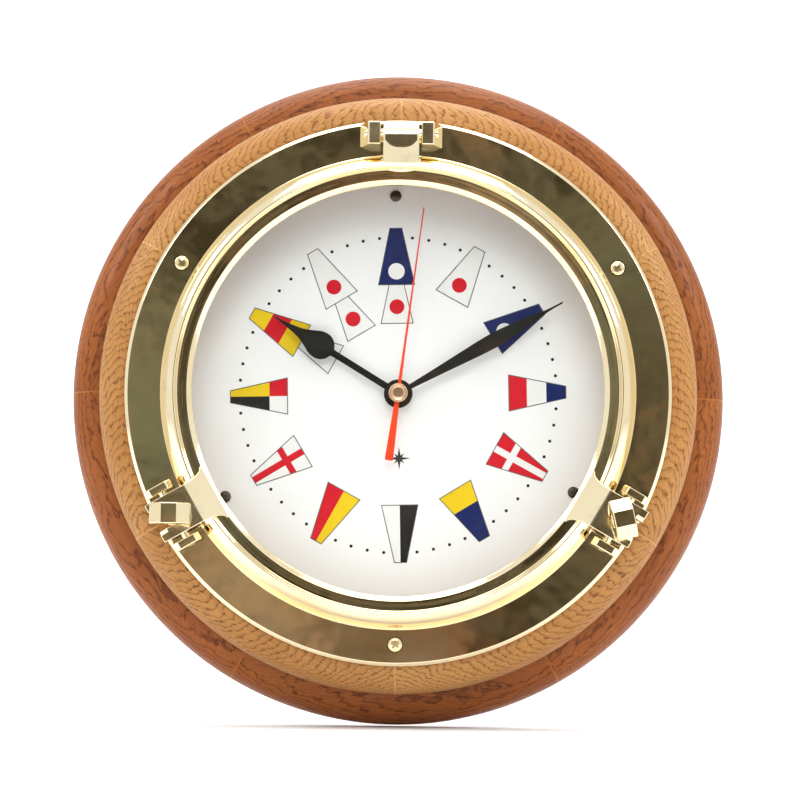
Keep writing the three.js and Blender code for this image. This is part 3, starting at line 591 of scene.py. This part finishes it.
# dog lugs
flare = [(-8.15, 90.0)] + [(-8.15 - 3.1 * (1 - math.cos(rad(t))), 90.0 - 7.6 * math.sin(rad(t))) for t in range(15, 91, 15)]
lug_outline = [(-8.15, 108.5)] + flare + [(-11.3, 81.2), (11.3, 81.2)] + [(-x, y) for x, y in flare[::-1]] + [(8.15, 108.5)]
lug_side = [(81.35, 46.9), (81.35, 47.5), (90.8, 51.0), (107.9, 51.0), (107.9, 43.1), (93.2, 43.1), (92.0, 45.2), (86.0, 46.6)]
slot_pts = [(-3.5, 110), (-3.5, 98.9)] + [(-3.5 * math.cos(rad(t)), 98.9 - 3.5 * math.sin(rad(t))) for t in range(15, 166, 15)] + [(3.5, 98.9), (3.5, 110)]
for a, nm in ((120, "right"), (240, "left")):
    lug = raw(f"dog_lug_{nm}", prism_bm(lug_outline, 40, 53))
    cut(lug, prism_bm(lug_side, -13, 13, "ydx"), "INTERSECT")
    cut(lug, prism_bm(slot_pts, 40, 53))
    cut(lug, prism_bm([(104.5, 51.2), (108.4, 48.35), (108.4, 51.6)], -4.9, 4.9, "ydx"))
    bevel(lug, 0.38, 3, 30)
    finish_piece(lug, "lid", BRASS_CAST, (), clockwise(a), 32)

# ------------------------------------------------------------------ glass and seal
gl = round_profile([(0, 42.0), (84.2, 42.0), (84.2, 45.0), (0, 45.0)], [0, 0.35, 0.35, 0], 3, False)
finish_piece(raw("glass_pane", lathe_bm(gl, 192, True)), "lid", GLASS, ("glass",))
sl = round_profile([(86.1, 42.1), (89.1, 42.1), (89.1, 43.6), (86.1, 43.6)], 0.5, 4)
finish_piece(raw("seal_ring", lathe_bm(sl, 192)), "lid", RUBBER, ("lid_gasket",))
rt = round_profile([(81.0, 39.9), (84.2, 39.9), (84.2, 41.7), (81.6, 41.7)], 0.25, 3)
finish_piece(raw("retaining_ring", lathe_bm(rt, 192)), "lid", BRASS, ("glass_retainer",))

# -------------------------------------------------------------------------- dogs
NUT_TURN = {"right": 103.0, "left": 0.0}
for a, nm in ((120, "right"), (240, "left")):
    cx, cy = 100 * math.sin(rad(a)), 100 * math.cos(rad(a))
    # swing bolt: eye and threaded shank
    n_th, pitch = 40, 0.8
    bolt = raw(f"swing_bolt_{nm}", rod_bm(3.3, -2.9, 2.9, 56, (100, 41)))
    bevel(bolt, 0.4, 3)
    shank = [(0, 42.0), (2.35, 42.0), (2.35, 49.0)]
    d = 49.0
    while d < 57.0:
        shank += [(2.05, d + 0.2), (2.4, d + 0.55), (2.4, d + 0.65)]
        d += pitch
    shank += [(1.9, 57.8), (0, 57.8)]
    bm = lathe_bm(shank, 36, True)
    bm.transform(Matrix.Translation((0, 100, 0)))
    cut(bolt, bm, "UNION")
    cut(bolt, rod_bm(1.6, -5, 5, 28, (100, 41)))
    finish_piece(bolt, f"dog_{nm}", BRASS_CAST, (f"dog_bolt_{nm}",), clockwise(a), 28)
    wz = 52.25
    ws = round_profile([(2.8, wz), (4.2, wz), (4.2, wz + 0.5), (2.8, wz + 0.5)], 0.12, 3)
    finish_piece(raw(f"washer_{nm}", lathe_bm(ws, 56)), f"dog_{nm}_washer", BRASS_CAST, (f"dog_washer_{nm}",), Matrix.Translation((cx, cy, 0)))
    # thumb nut: disc on edge, softened rim, turned collar, cross hole
    disc_p = [(0, -4.0), (8.33, -4.0), (8.33, 4.0), (0, 4.0)]
    nut = raw(f"nut_{nm}", lathe_bm(disc_p, 8, True))
    nut.data.transform(Matrix.Translation((0, 0, 61.3)) @ Matrix.Rotation(rad(-90), 4, "X") @ Matrix.Rotation(rad(22.5), 4, "Z"))
    bevel(nut, 0.42, 3)
    col_p = [(0, 53.05), (4.0, 53.05), (4.28, 53.25), (4.3, 54.2), (3.9, 55.3), (3.4, 56.0), (3.0, 61.0), (0, 61.0)]
    cut(nut, lathe_bm(col_p, 48, True), "UNION")
    cut(nut, rod_bm(2.7, 50, 61.0, 32, (0, 0), "z"))
    hole = lathe_bm(round_profile([(0, -6), (3.1, -6), (3.1, -3.55), (2.3, -2.9), (2.3, 2.9), (3.1, 3.55), (3.1, 6), (0, 6)], 0, 3, False), 40, True)
    hole.transform(Matrix.Translation((0, 0, 61.3)) @ Matrix.Rotation(rad(-90), 4, "X"))
    cut(nut, hole)
    finish_piece(nut, f"dog_{nm}_nut", BRASS_CAST, (f"thumb_nut_{nm}",),
                 Matrix.Translation((cx, cy, 0)) @ Matrix.Rotation(rad(NUT_TURN[nm]), 4, "Z"), 30)
    pin = lathe_bm(round_profile([(0, -13.25), (1.5, -13.25), (1.5, 13.25), (0, 13.25)], [0, 0.4, 0.4, 0], 3, False), 32, True)
    pin.transform(Matrix.Translation((0, 100, 41)) @ Matrix.Rotation(rad(90), 4, "Y"))
    finish_piece(raw(f"swing_pin_{nm}", pin), "case", BRASS_CAST, (f"dog_pin_{nm}",), clockwise(a))
pin = lathe_bm(round_profile([(0, -13.2), (1.6, -13.2), (1.6, 13.2), (0, 13.2)], [0, 0.4, 0.4, 0], 3, False), 32, True)
pin.transform(Matrix.Translation((0, 101.4, 44.8)) @ Matrix.Rotation(rad(90), 4, "Y"))
finish_piece(raw("lid_hinge_pin", pin), "case", BRASS_CAST, ("hinge_pin",))

# flange screws: raised heads, cross recess
for i, a in ((1, 60), (2, 180), (3, 300)):
    head = [(0, 21.4), (1.3, 23.2), (1.5, 24.0), (1.5, 36.9), (2.75, 38.75), (2.78, 38.9)] + [(2.75 * math.cos(rad(t)), 38.95 + 0.68 * math.sin(rad(t))) for t in range(10, 90, 10)] + [(0, 39.64)]
    ob = raw(f"flange_screw_head_{i}", lathe_bm(head, 48, True))
    for q in (0, 90):
        bm = prism_bm([(-1.65, -0.34), (-1.35, -0.40), (1.35, -0.40), (1.65, -0.34), (1.65, 0.34), (1.35, 0.40), (-1.35, 0.40), (-1.65, 0.34)], 38.3, 41)
        bm.transform(Matrix.Rotation(rad(q), 4, "Z"))
        cut(ob, bm)
    finish_piece(ob, "case", BRASS_SCREW, (f"flange_screw_{i}",),
                 clockwise(a) @ Matrix.Translation((0, 99.3, 0)) @ Matrix.Rotation(rad(20 * i + 12), 4, "Z"), 30)

# -------------------------------------------------------------------------- dial
dial_p = round_profile([(4.3, 19.3), (85.5, 19.3), (85.5, 21.0), (4.3, 21.0)], [0.1, 0.25, 0.25, 0.1], 2)
dial = raw("dial_disc", lathe_bm(dial_p, 256))
finish_piece(dial, "case", DIAL, ("dial_plate",))

print_bm = {k: bmesh.new() for k in INK}
def ink(colour, pts, layer, angle=0.0):
    """a printed patch: a closed sliver of ink lying on the enamel"""
    bm = print_bm[colour]
    lo_d, hi_d = 20.99, 21.0 + 0.02 * layer
    mtx = clockwise(angle - 1.5)
    low = [bm.verts.new(mtx @ Vector((x, y, lo_d))) for x, y in pts]
    high = [bm.verts.new(mtx @ Vector((x, y, hi_d))) for x, y in pts]
    n = len(pts)
    bm.faces.new(low[::-1]); bm.faces.new(high)
    for i in range(n):
        j = (i + 1) % n
        bm.faces.new((low[i], low[j], high[j], high[i]))
def circle(cx, cy, r, n=48):
    return [(cx + r * math.cos(2 * math.pi * i / n), cy + r * math.sin(2 * math.pi * i / n)) for i in range(n)]
def width_at(v, v0, w0, v1, w1):
    return w0 + (w1 - w0) * (v - v0) / (v1 - v0)
FLAG = (44.2, 14.5, 67.0, 4.8)         # inner radius, width there, outer radius, width there
SECOND = (28.6, 12.8, 44.2, 6.0)
def strip(flag, va, vb, fa=-1.0, fb=1.0, ins=0.0):
    """part of a pennant between radii va and vb and between the width shares fa and fb"""
    wa, wb = width_at(va, *flag) / 2 - ins, width_at(vb, *flag) / 2 - ins
    return [(fa * wa, va), (fb * wa, va), (fb * wb, vb), (fa * wb, vb)]
def outline(flag, angle, layer=5, w=0.17):
    v0, w0, v1, w1 = flag
    c = [(-w0 / 2, v0), (w0 / 2, v0), (w1 / 2, v1), (-w1 / 2, v1)]
    for i in range(4):
        a, b = Vector(c[i]), Vector(c[(i + 1) % 4])
        t = (b - a).normalized(); nrm = Vector((-t.y, t.x)) * w
        a2, b2 = a - t * w, b + t * w
        ink("line", [tuple(a2 - nrm), tuple(b2 - nrm), tuple(b2 + nrm), tuple(a2 + nrm)], layer, angle)
def fill(colour, angle, va, vb, fa=-1.0, fb=1.0, layer=2, flag=FLAG):
    ink(colour, strip(flag, va, vb, fa, fb), layer, angle)
V0, V1 = 44.2, 67.0
third = V0 + (V1 - V0) * 0.335
def digit2(angle):
    fill("white", angle, 28.6, 44.2, layer=1, flag=SECOND)
    ink("red", circle(0, 35.3, 3.0), 3, angle)
    outline(SECOND, angle, 4)
fill("navy", 0, V0, V1); ink("white", circle(0, 49.6, 3.3), 3, 0)
for a in (30, 330):
    fill("white", a, V0, V1); ink("red", circle(0, 50.3, 3.0), 3, a)
fill("navy", 60, V0, V1); ink("white", circle(0, 49.6, 3.3), 3, 60)
fill("red", 90, V0, third - 0.4); fill("white", 90, third - 0.4, 59.2); fill("navy", 90, 59.2, V1)
def crossed(angle, ground, arm):
    fill(ground, angle, V0, V1)
    ink(arm, [(-1.35, V0), (1.35, V0), (1.35, V1), (-1.35, V1)], 3, angle)
    c = V0 + (V1 - V0) * 0.335
    wa, wb = width_at(c - 1.3, *FLAG) / 2, width_at(c + 1.3, *FLAG) / 2
    ink(arm, [(-wa, c - 1.3), (wa, c - 1.3), (wb, c + 1.3), (-wb, c + 1.3)], 4, angle)
crossed(120, "red", "white")
crossed(240, "white", "red")
fill("yellow", 150, V0, 52.6); fill("navy", 150, 52.6, V1)
fill("white", 180, V0, V1, 0, 1); fill("black", 180, V0, V1, -1, 0)
fill("red", 210, V0, V1, 0, 1); fill("yellow", 210, V0, V1, -1, 0)
fill("yellow", 270, 51.4, V1, 0, 1); fill("black", 270, 51.4, V1, -1, 0)
fill("red", 270, V0, 51.4, 0, 1); fill("white", 270, V0, 51.4, -1, 0)
fill("yellow", 300, V0, 51.8); fill("red", 300, 51.8, 59.4); fill("yellow", 300, 59.4, V1)
for a in (0, 330, 300):
    digit2(a)
for a in range(0, 360, 30):
    outline(FLAG, a, 5)
for i in range(60):
    if i % 5:
        ink("black", circle(0, 63.3, 0.64, 24), 1, 6 * i)
# a plain eight-pointed compass star under the hub
for k in range(8):
    t = rad(45 * k)
    R, r = (4.6, 1.25) if k % 2 == 0 else (2.9, 1.05)
    tip = (R * math.sin(t), -25.6 + R * math.cos(t))
    for sgn, layer in ((1, 2), (-1, 2)):
        q = (r * math.sin(t + sgn * rad(28)), -25.6 + r * math.cos(t + sgn * rad(28)))
        pts = [(0, -25.6), q, tip]
        if sgn > 0:
            pts = pts
        ink("black" if sgn > 0 else "line", pts if sgn > 0 else pts[::-1], layer)
for colour, bm in print_bm.items():
    ob = new_object(f"dial_print_{colour}", bm)
    finish_piece(ob, "case", INK[colour])

# dial screws and fixing nut
for i, a in ((1, 0), (2, 120), (3, 240)):
    head = [(0, 11.0), (1.2, 12.2), (1.2, 21.2), (2.3, 21.25)] + [(2.3 * math.cos(rad(t)) + 0.0, 21.4 + 1.1 * math.sin(rad(t))) for t in range(0, 90, 12)] + [(0, 22.5)]
    ob = raw(f"dial_screw_head_{i}", lathe_bm(head, 40, True))
    for q in (0, 90):
        bm = prism_bm([(-1.3, -0.25), (1.3, -0.25), (1.3, 0.25), (-1.3, 0.25)], 21.9, 23)
        bm.transform(Matrix.Rotation(rad(q), 4, "Z"))
        cut(ob, bm)
    finish_piece(ob, "case", BLACKENED, (f"dial_screw_{i}",),
                 clockwise(a - 1.4) @ Matrix.Translation((0, 80, 0)) @ Matrix.Rotation(rad(35 + 50 * i), 4, "Z"), 30)
fn = raw("hub_nut", prism_bm(circle(0, 0, 5.38, 6), 21.3, 23.2))
bevel(fn, 0.3, 2)
cut(fn, rod_bm(4.25, 20, 25, 40, (0, 0), "z"))
finish_piece(fn, "case", BRASS_CAST, ("fixing_nut",))

# ------------------------------------------------------------------------- hands
def spline(points, n=6):
    out = []
    P = [points[0]] + points + [points[-1]]
    for i in range(1, len(P) - 2):
        p0, p1, p2, p3 = P[i - 1], P[i], P[i + 1], P[i + 2]
        for k in range(n):
            t = k / n
            out.append(tuple(0.5 * ((2 * p1[j]) + (-p0[j] + p2[j]) * t + (2 * p0[j] - 5 * p1[j] + 4 * p2[j] - p3[j]) * t * t + (-p0[j] + 3 * p1[j] - 3 * p2[j] + p3[j]) * t ** 3) for j in (0, 1)))
    out.append(tuple(points[-1]))
    return out
def hand(name, node, body, right_side, boss, bore, d, thick, angle, material, smooth=True, lift=0.0):
    side = spline(right_side) if smooth else right_side
    pts = [(max(w, 0.02), y) for w, y in side]
    pts = pts + [(-w, y) for w, y in pts[::-1]]
    ob = raw(name, prism_bm(pts[::-1], d, d + thick))
    cut(ob, rod_bm(boss, d, d + thick, 56, (0, 0), "z"), "UNION")
    cut(ob, rod_bm(bore, d - 2, d + thick + 2, 32, (0, 0), "z"))
    bevel(ob, 0.10, 2, 50)
    finish_piece(ob, body, material, (node,), clockwise(angle), 40)
hand("hour_hand_spade", "hour_hand", "hour",
     [(0.12, 59), (0.55, 54.5), (1.15, 50), (2.1, 45.6), (3.7, 41.9), (5.0, 39.3), (5.5, 36.6), (5.05, 34.2), (3.6, 32.2), (1.9, 31.2), (1.38, 30.4)] + [(1.32, 24), (1.3, 14), (1.3, 2)],
     5.7, 2.8, 24.6, 0.6, 301.3, HAND_BLACK)
hand("minute_hand_leaf", "minute_hand", "centre",
     [(0.32, 75), (0.40, 70.5), (0.62, 67.2), (1.25, 62.5), (2.0, 56.5), (2.65, 50), (2.95, 44), (2.80, 38), (2.35, 30), (1.75, 20), (1.25, 11), (0.95, 5), (0.9, 2)],
     3.35, 1.75, 26.4, 0.6, 60.3, HAND_BLACK)
hand("seconds_hand_sweep", "seconds_hand", "seconds",
     [(0.24, 75), (0.36, 40), (0.46, 18), (0.72, 0), (1.12, -8), (1.66, -26.2), (1.4, -27)],
     2.35, 0.8, 28.1, 0.5, 7.2, HAND_RED, False)
cap_p = [(0, 29.0), (3.4, 28.95), (3.68, 29.1), (3.8, 29.4), (3.8, 29.9)] + arc(3.2, 29.95, 0.6, 0, 90, 6) + [(2.85, 30.52), (2.6, 30.40), (1.4, 30.36), (0, 30.35)]
finish_piece(raw("hub_cap", lathe_bm(cap_p, 64, True)), "seconds", brass_material("cap_brass", 0.20, (0.76, 0.50, 0.34)), ("hand_cap",))

# ----------------------------------------------------- carried-over CAD materials
CARRY = {
    "hanger_plate": ZINC, "hanger_screw_1": ZINC, "hanger_screw_2": ZINC, "rotor": ZINC, "stator": ZINC, "quartz_crystal": ZINC,
    "contact_positive": ZINC, "contact_negative": ZINC, "movement_case": PLASTIC_BLACK, "movement_cover": PLASTIC_BLACK,
    "setting_knob": PLASTIC_BLACK, "train_plate": NYLON, "fifth_wheel": NYLON, "seconds_wheel": NYLON, "third_wheel": NYLON,
    "centre_wheel": NYLON, "minute_wheel": NYLON, "hour_wheel": NYLON, "circuit_board": BOARD, "coil": COPPER, "battery": CELL,
}
for n, m in CARRY.items():
    me = NODES[n].data
    if len(me.materials) == 0:
        me.materials.append(m)
    for i in range(len(me.materials)):
        me.materials[i] = m

# ------------------------------------------------------------------ stage and light
def plane(name, pts, material):
    bm = bmesh.new()
    bm.faces.new([bm.verts.new(p) for p in pts])
    me = bpy.data.meshes.new(name); bm.to_mesh(me); bm.free()
    me.materials.append(material)
    ob = bpy.data.objects.new(name, me); scene.collection.objects.link(ob)
    return ob
fm = Nodes("floor_white")
fm.set(Base_Color=(0.89, 0.89, 0.90), Roughness=0.9, Specular_IOR_Level=0.1)
Z0 = -0.1325
bm = bmesh.new()
xs = [-4, 4]
curve = [(-0.50, Z0), (0.55, Z0)] + [(0.55 + 0.6 * math.sin(rad(t)), Z0 + 0.6 - 0.6 * math.cos(rad(t))) for t in range(6, 91, 6)] + [(1.15, 3.5)]
rows = [[bm.verts.new((x, y, z)) for x in xs] for y, z in curve]
for a, b in zip(rows, rows[1:]):
    bm.faces.new((a[0], a[1], b[1], b[0]))
me = bpy.data.meshes.new("sweep"); bm.to_mesh(me); bm.free()
me.polygons.foreach_set("use_smooth", [True] * len(me.polygons))
me.materials.append(fm.m)
sweep = bpy.data.objects.new("sweep", me); scene.collection.objects.link(sweep)

def area(name, loc, target, size, power, colour=(1, 1, 1), size_y=None):
    L = bpy.data.lights.new(name, "AREA")
    L.shape = "RECTANGLE"; L.size = size; L.size_y = size_y or size
    L.energy = power; L.color = colour
    ob = bpy.data.objects.new(name, L); scene.collection.objects.link(ob)
    ob.location = loc
    ob.rotation_euler = (Vector(target) - Vector(loc)).to_track_quat("-Z", "Y").to_euler()
    return ob
area("softbox_right", (0.97, -0.34, 0.66), (0, 0, 0), 0.50, 5.0)
area("softbox_left", (-0.95, -0.34, 0.69), (0, 0, 0), 0.50, 5.0)
area("front_fill", (0.0, -1.05, 0.66), (0, 0, 0), 0.5, 2.7)
area("top_fill", (0, -0.35, 1.5), (0, 0.1, 0), 1.2, 5.0)
area("backdrop_light", (0, 0.35, 1.6), (0, 1.0, 0.1), 1.6, 22.0)

world = bpy.data.worlds.new("tent")
scene.world = world
world.use_nodes = True
t = world.node_tree
t.nodes.clear()
k = Nodes.__new__(Nodes); k.t = t; k.b = None
out = t.nodes.new("ShaderNodeOutputWorld"); bg = t.nodes.new("ShaderNodeBackground")
t.links.new(bg.outputs[0], out.inputs[0])
d = t.nodes.new("ShaderNodeTexCoord").outputs["Generated"]
dot = t.nodes.new("ShaderNodeVectorMath"); dot.operation = "DOT_PRODUCT"
t.links.new(d, dot.inputs[0]); dot.inputs[1].default_value = (0.0, -0.9965, 0.084)
room = k.ramp(dot.outputs["Value"], [(0.0, (0, 0, 0)), (0.940, (0, 0, 0)), (0.968, (1, 1, 1))])
n1 = k.noise(d, 16.0, 5.0, 0.55, 0.8)
n2 = k.noise(k.mapping(d, (1, 1, 2.2), (0.3, 0, 0.1)), 42.0, 3.0, 0.6, 1.2)
mixn = k.math("ADD", k.math("MULTIPLY", n1, 0.72), k.math("MULTIPLY", n2, 0.28))
dark = k.ramp(mixn, [(0.38, (0.022, 0.016, 0.008)), (0.45, (0.055, 0.042, 0.023)), (0.49, (0.105, 0.098, 0.068)), (0.52, (0.20, 0.205, 0.155)), (0.545, (0.10, 0.070, 0.040)), (0.58, (0.27, 0.16, 0.105)), (0.65, (0.44, 0.36, 0.25))])
def blob(base, at, inner, outer, colour, amount=1.0):
    spot = t.nodes.new("ShaderNodeVectorMath"); spot.operation = "DISTANCE"
    t.links.new(d, spot.inputs[0]); spot.inputs[1].default_value = at
    near = k.math("ADD", spot.outputs["Value"], k.math("MULTIPLY", k.math("SUBTRACT", n2, 0.5), 0.06))
    m = k.ramp(near, [(0.0, (amount,) * 3), (inner * 1.5, (amount,) * 3), (outer * 1.5, (0, 0, 0))])
    return k.mix(m, base, colour)
dark = blob(dark, (-0.105, -0.992, 0.080), 0.015, 0.045, (0.24, 0.26, 0.19), 0.62)
dark = blob(dark, (-0.066, -0.997, 0.003), 0.014, 0.030, (0.50, 0.36, 0.24), 0.80)
dark = blob(dark, (0.012, -0.999, -0.016), 0.010, 0.022, (0.36, 0.20, 0.12), 0.70)
dark = blob(dark, (0.085, -0.987, 0.135), 0.015, 0.040, (0.17, 0.17, 0.125), 0.7)
col = k.mix(room, (1.0, 1.0, 1.0), dark)
t.links.new(col, bg.inputs[0])
bg.inputs[1].default_value = 1.0

scene.view_settings.view_transform = "Standard"
scene.view_settings.look = "None"
